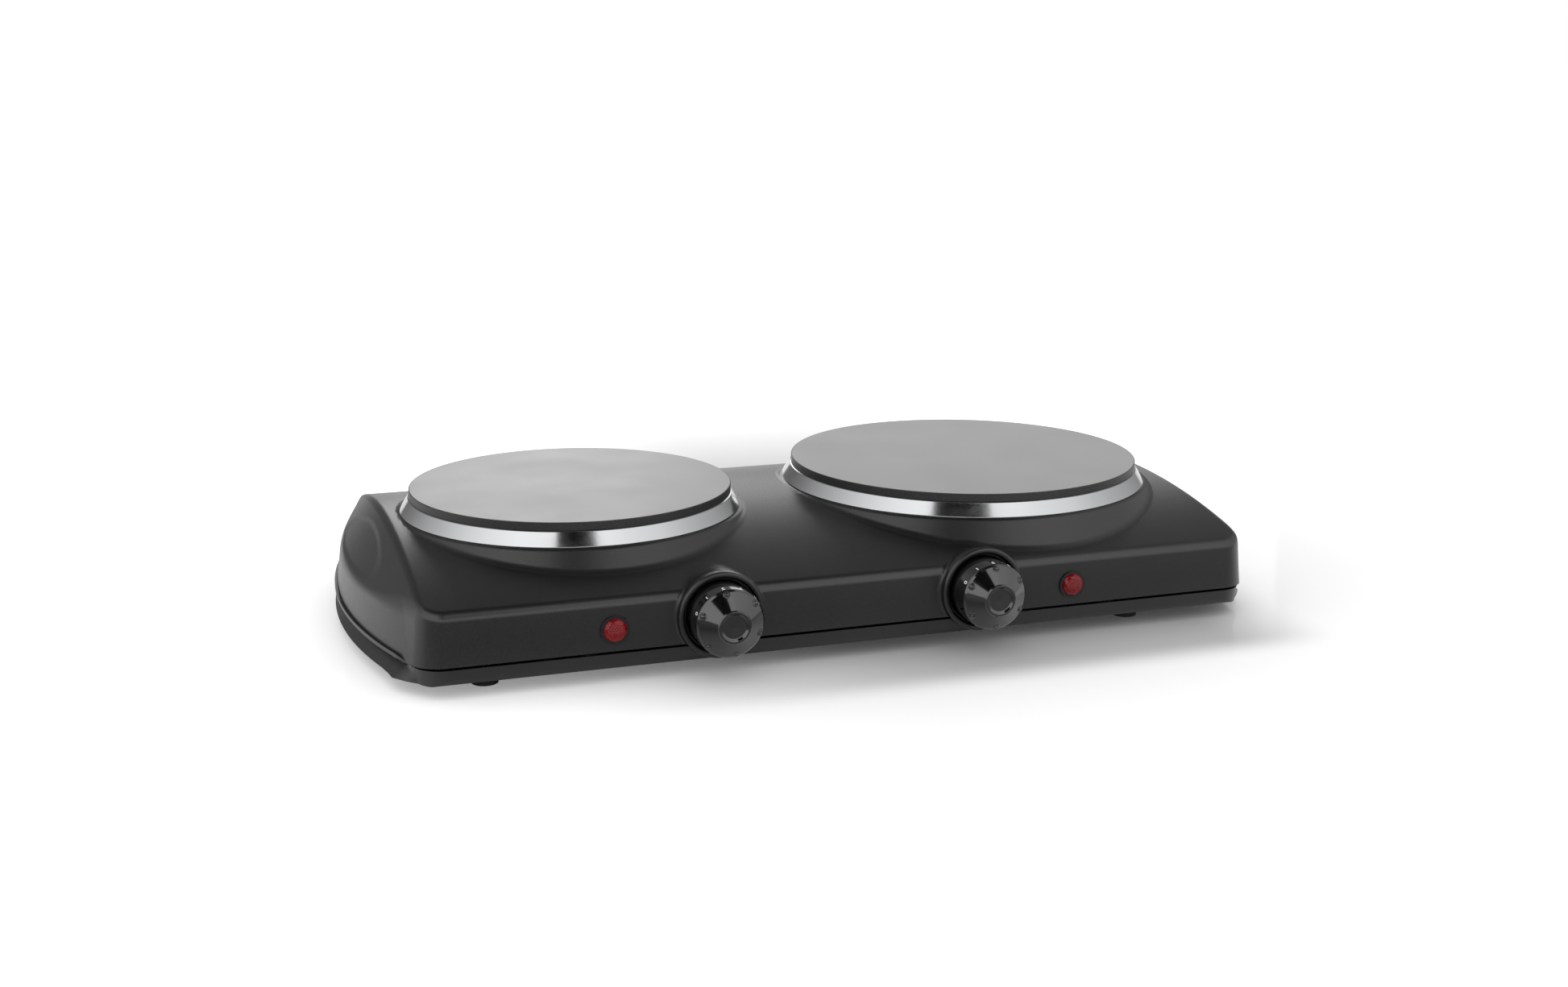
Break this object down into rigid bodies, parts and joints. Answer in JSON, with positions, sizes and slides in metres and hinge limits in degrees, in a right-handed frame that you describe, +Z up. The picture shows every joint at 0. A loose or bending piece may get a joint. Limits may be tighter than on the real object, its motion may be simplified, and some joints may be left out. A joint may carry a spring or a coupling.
{
  "type": "double electric hot plate",
  "caption": "Low tabletop cooker with round iron plates, an arched steel housing and a turning control knob for each plate.",
  "frame": {"origin": "middle of the footprint on the table, with the knobs and the cord gland included in the footprint", "axes": "+Z up, -Y is the front with the knobs, +X runs to the user's right along the longest side"},
  "size_m": [0.4528, 0.254, 0.065],
  "materials": {
    "powder_coat": "fine-textured black powder coat",
    "powder_coat_pan": "fine-textured black powder coat",
    "cast_iron_plate": "turned face with a grey heat-proof coating",
    "stainless_ring": "polished stainless steel, finely brushed round the ring",
    "rubber": "moulded black rubber",
    "screw_steel": "zinc-plated steel",
    "element_sheath": "oxidised steel sheath",
    "aluminised_steel": "aluminised steel sheet",
    "zinc_steel": "zinc-plated steel strip",
    "dark_ceramic": "dark phenolic",
    "steatite": "unglazed steatite ceramic",
    "brass": "plain brass",
    "shaft_steel": "turned steel",
    "knob_plastic": "polished black phenolic",
    "lamp_plastic": "black moulded plastic",
    "lamp_red": "transparent red moulded lens",
    "gland_plastic": "black moulded polyamide",
    "block_plastic": "white moulded polyamide",
    "wire_brown": "glass-fibre and silicone insulation",
    "wire_blue": "silicone insulation",
    "wire_green": "silicone insulation"
  },
  "bodies": {
    "root": {"upper_housing": "powder_coat", "base_pan": "powder_coat_pan", "rubber_feet": "rubber", "foot_screws": "screw_steel", "base_screws": "screw_steel", "left_hotplate": "cast_iron_plate", "right_hotplate": "cast_iron_plate", "left_trim_ring": "stainless_ring", "right_trim_ring": "stainless_ring", "left_heating_element": "element_sheath", "right_heating_element": "element_sheath", "left_heat_shield": "aluminised_steel", "right_heat_shield": "aluminised_steel", "left_clamp_strap": "zinc_steel", "right_clamp_strap": "zinc_steel", "left_clamp_stud": "screw_steel", "right_clamp_stud": "screw_steel", "left_clamp_nut": "screw_steel", "right_clamp_nut": "screw_steel", "left_thermal_cutout": "dark_ceramic", "right_thermal_cutout": "dark_ceramic", "left_thermostat": "steatite", "right_thermostat": "steatite", "left_thermostat_nut": "brass", "right_thermostat_nut": "brass", "left_lamp_body": "lamp_plastic", "right_lamp_body": "lamp_plastic", "left_lamp_lens": "lamp_red", "right_lamp_lens": "lamp_red", "cord_gland": "gland_plastic", "terminal_block": "block_plastic", "earth_terminal": "brass", "live_wires": "wire_brown", "neutral_wires": "wire_blue", "earth_wires": "wire_green"},
    "left_control": {"left_thermostat_shaft": "shaft_steel", "left_knob": "knob_plastic"},
    "right_control": {"right_thermostat_shaft": "shaft_steel", "right_knob": "knob_plastic"}
  },
  "joints": [
    {"name": "left_knob_turn", "type": "hinge", "parent": "root", "child": "left_control", "pos_m": [-0.06925, -0.1057, 0.0276], "axis": [0, -1, 0], "range_deg": [0, 270]},
    {"name": "right_knob_turn", "type": "hinge", "parent": "root", "child": "right_control", "pos_m": [0.05825, -0.1057, 0.0276], "axis": [0, -1, 0], "range_deg": [0, 270]}
  ]
}
